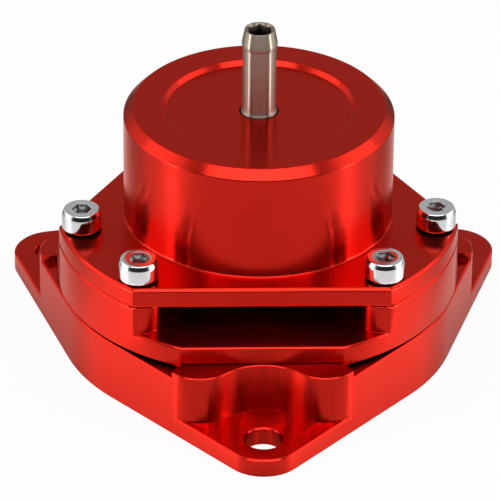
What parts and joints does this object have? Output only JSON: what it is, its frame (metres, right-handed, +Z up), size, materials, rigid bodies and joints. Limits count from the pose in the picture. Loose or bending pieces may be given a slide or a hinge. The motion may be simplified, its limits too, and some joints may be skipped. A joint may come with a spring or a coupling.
{
  "type": "blow off valve",
  "caption": "Round capped blow off valve with side vents and an eared base; a spring holds its piston on the inlet until vacuum at the top nipple lifts it.",
  "frame": {"origin": "on the valve's axis, at the underside of the base, which is the centre of the ear hole circle", "axes": "+Z up along the valve's axis towards the nipple; one ear points to -Y, the other two to +X+Y and -X+Y"},
  "size_m": [0.0872, 0.0847, 0.0602],
  "materials": {
    "red_aluminium": "red anodised, finely machined",
    "black_aluminium": "hard anodised, satin",
    "bright_steel": "bright zinc plated",
    "dark_steel": "black oxide",
    "nickel_brass": "nickel plated",
    "spring_steel": "shot peened wire",
    "rubber": "matte black",
    "guide_plastic": "bronze filled"
  },
  "bodies": {
    "housing": {"base_flange": "red_aluminium", "valve_body": "red_aluminium", "top_cap": "red_aluminium", "vacuum_nipple": "nickel_brass", "return_spring": "spring_steel", "cap_screw_1": "bright_steel", "cap_screw_2": "bright_steel", "cap_screw_3": "bright_steel", "cap_screw_4": "bright_steel", "cap_screw_5": "bright_steel", "cap_screw_6": "bright_steel", "body_screw_1": "dark_steel", "body_screw_2": "dark_steel", "body_screw_3": "dark_steel", "base_seal": "rubber", "body_seal": "rubber", "nipple_seal": "rubber"},
    "piston_group": {"piston": "black_aluminium", "piston_seal": "rubber", "piston_guide_band": "guide_plastic", "seat_seal": "rubber"}
  },
  "joints": [
    {"name": "piston_lift", "type": "slide", "parent": "housing", "child": "piston_group", "axis": [0, 0, 1], "range_m": [0, 0.007], "stiffness_N_per_m": 2500, "springref_m": -0.008, "deforming": ["return_spring"]}
  ]
}
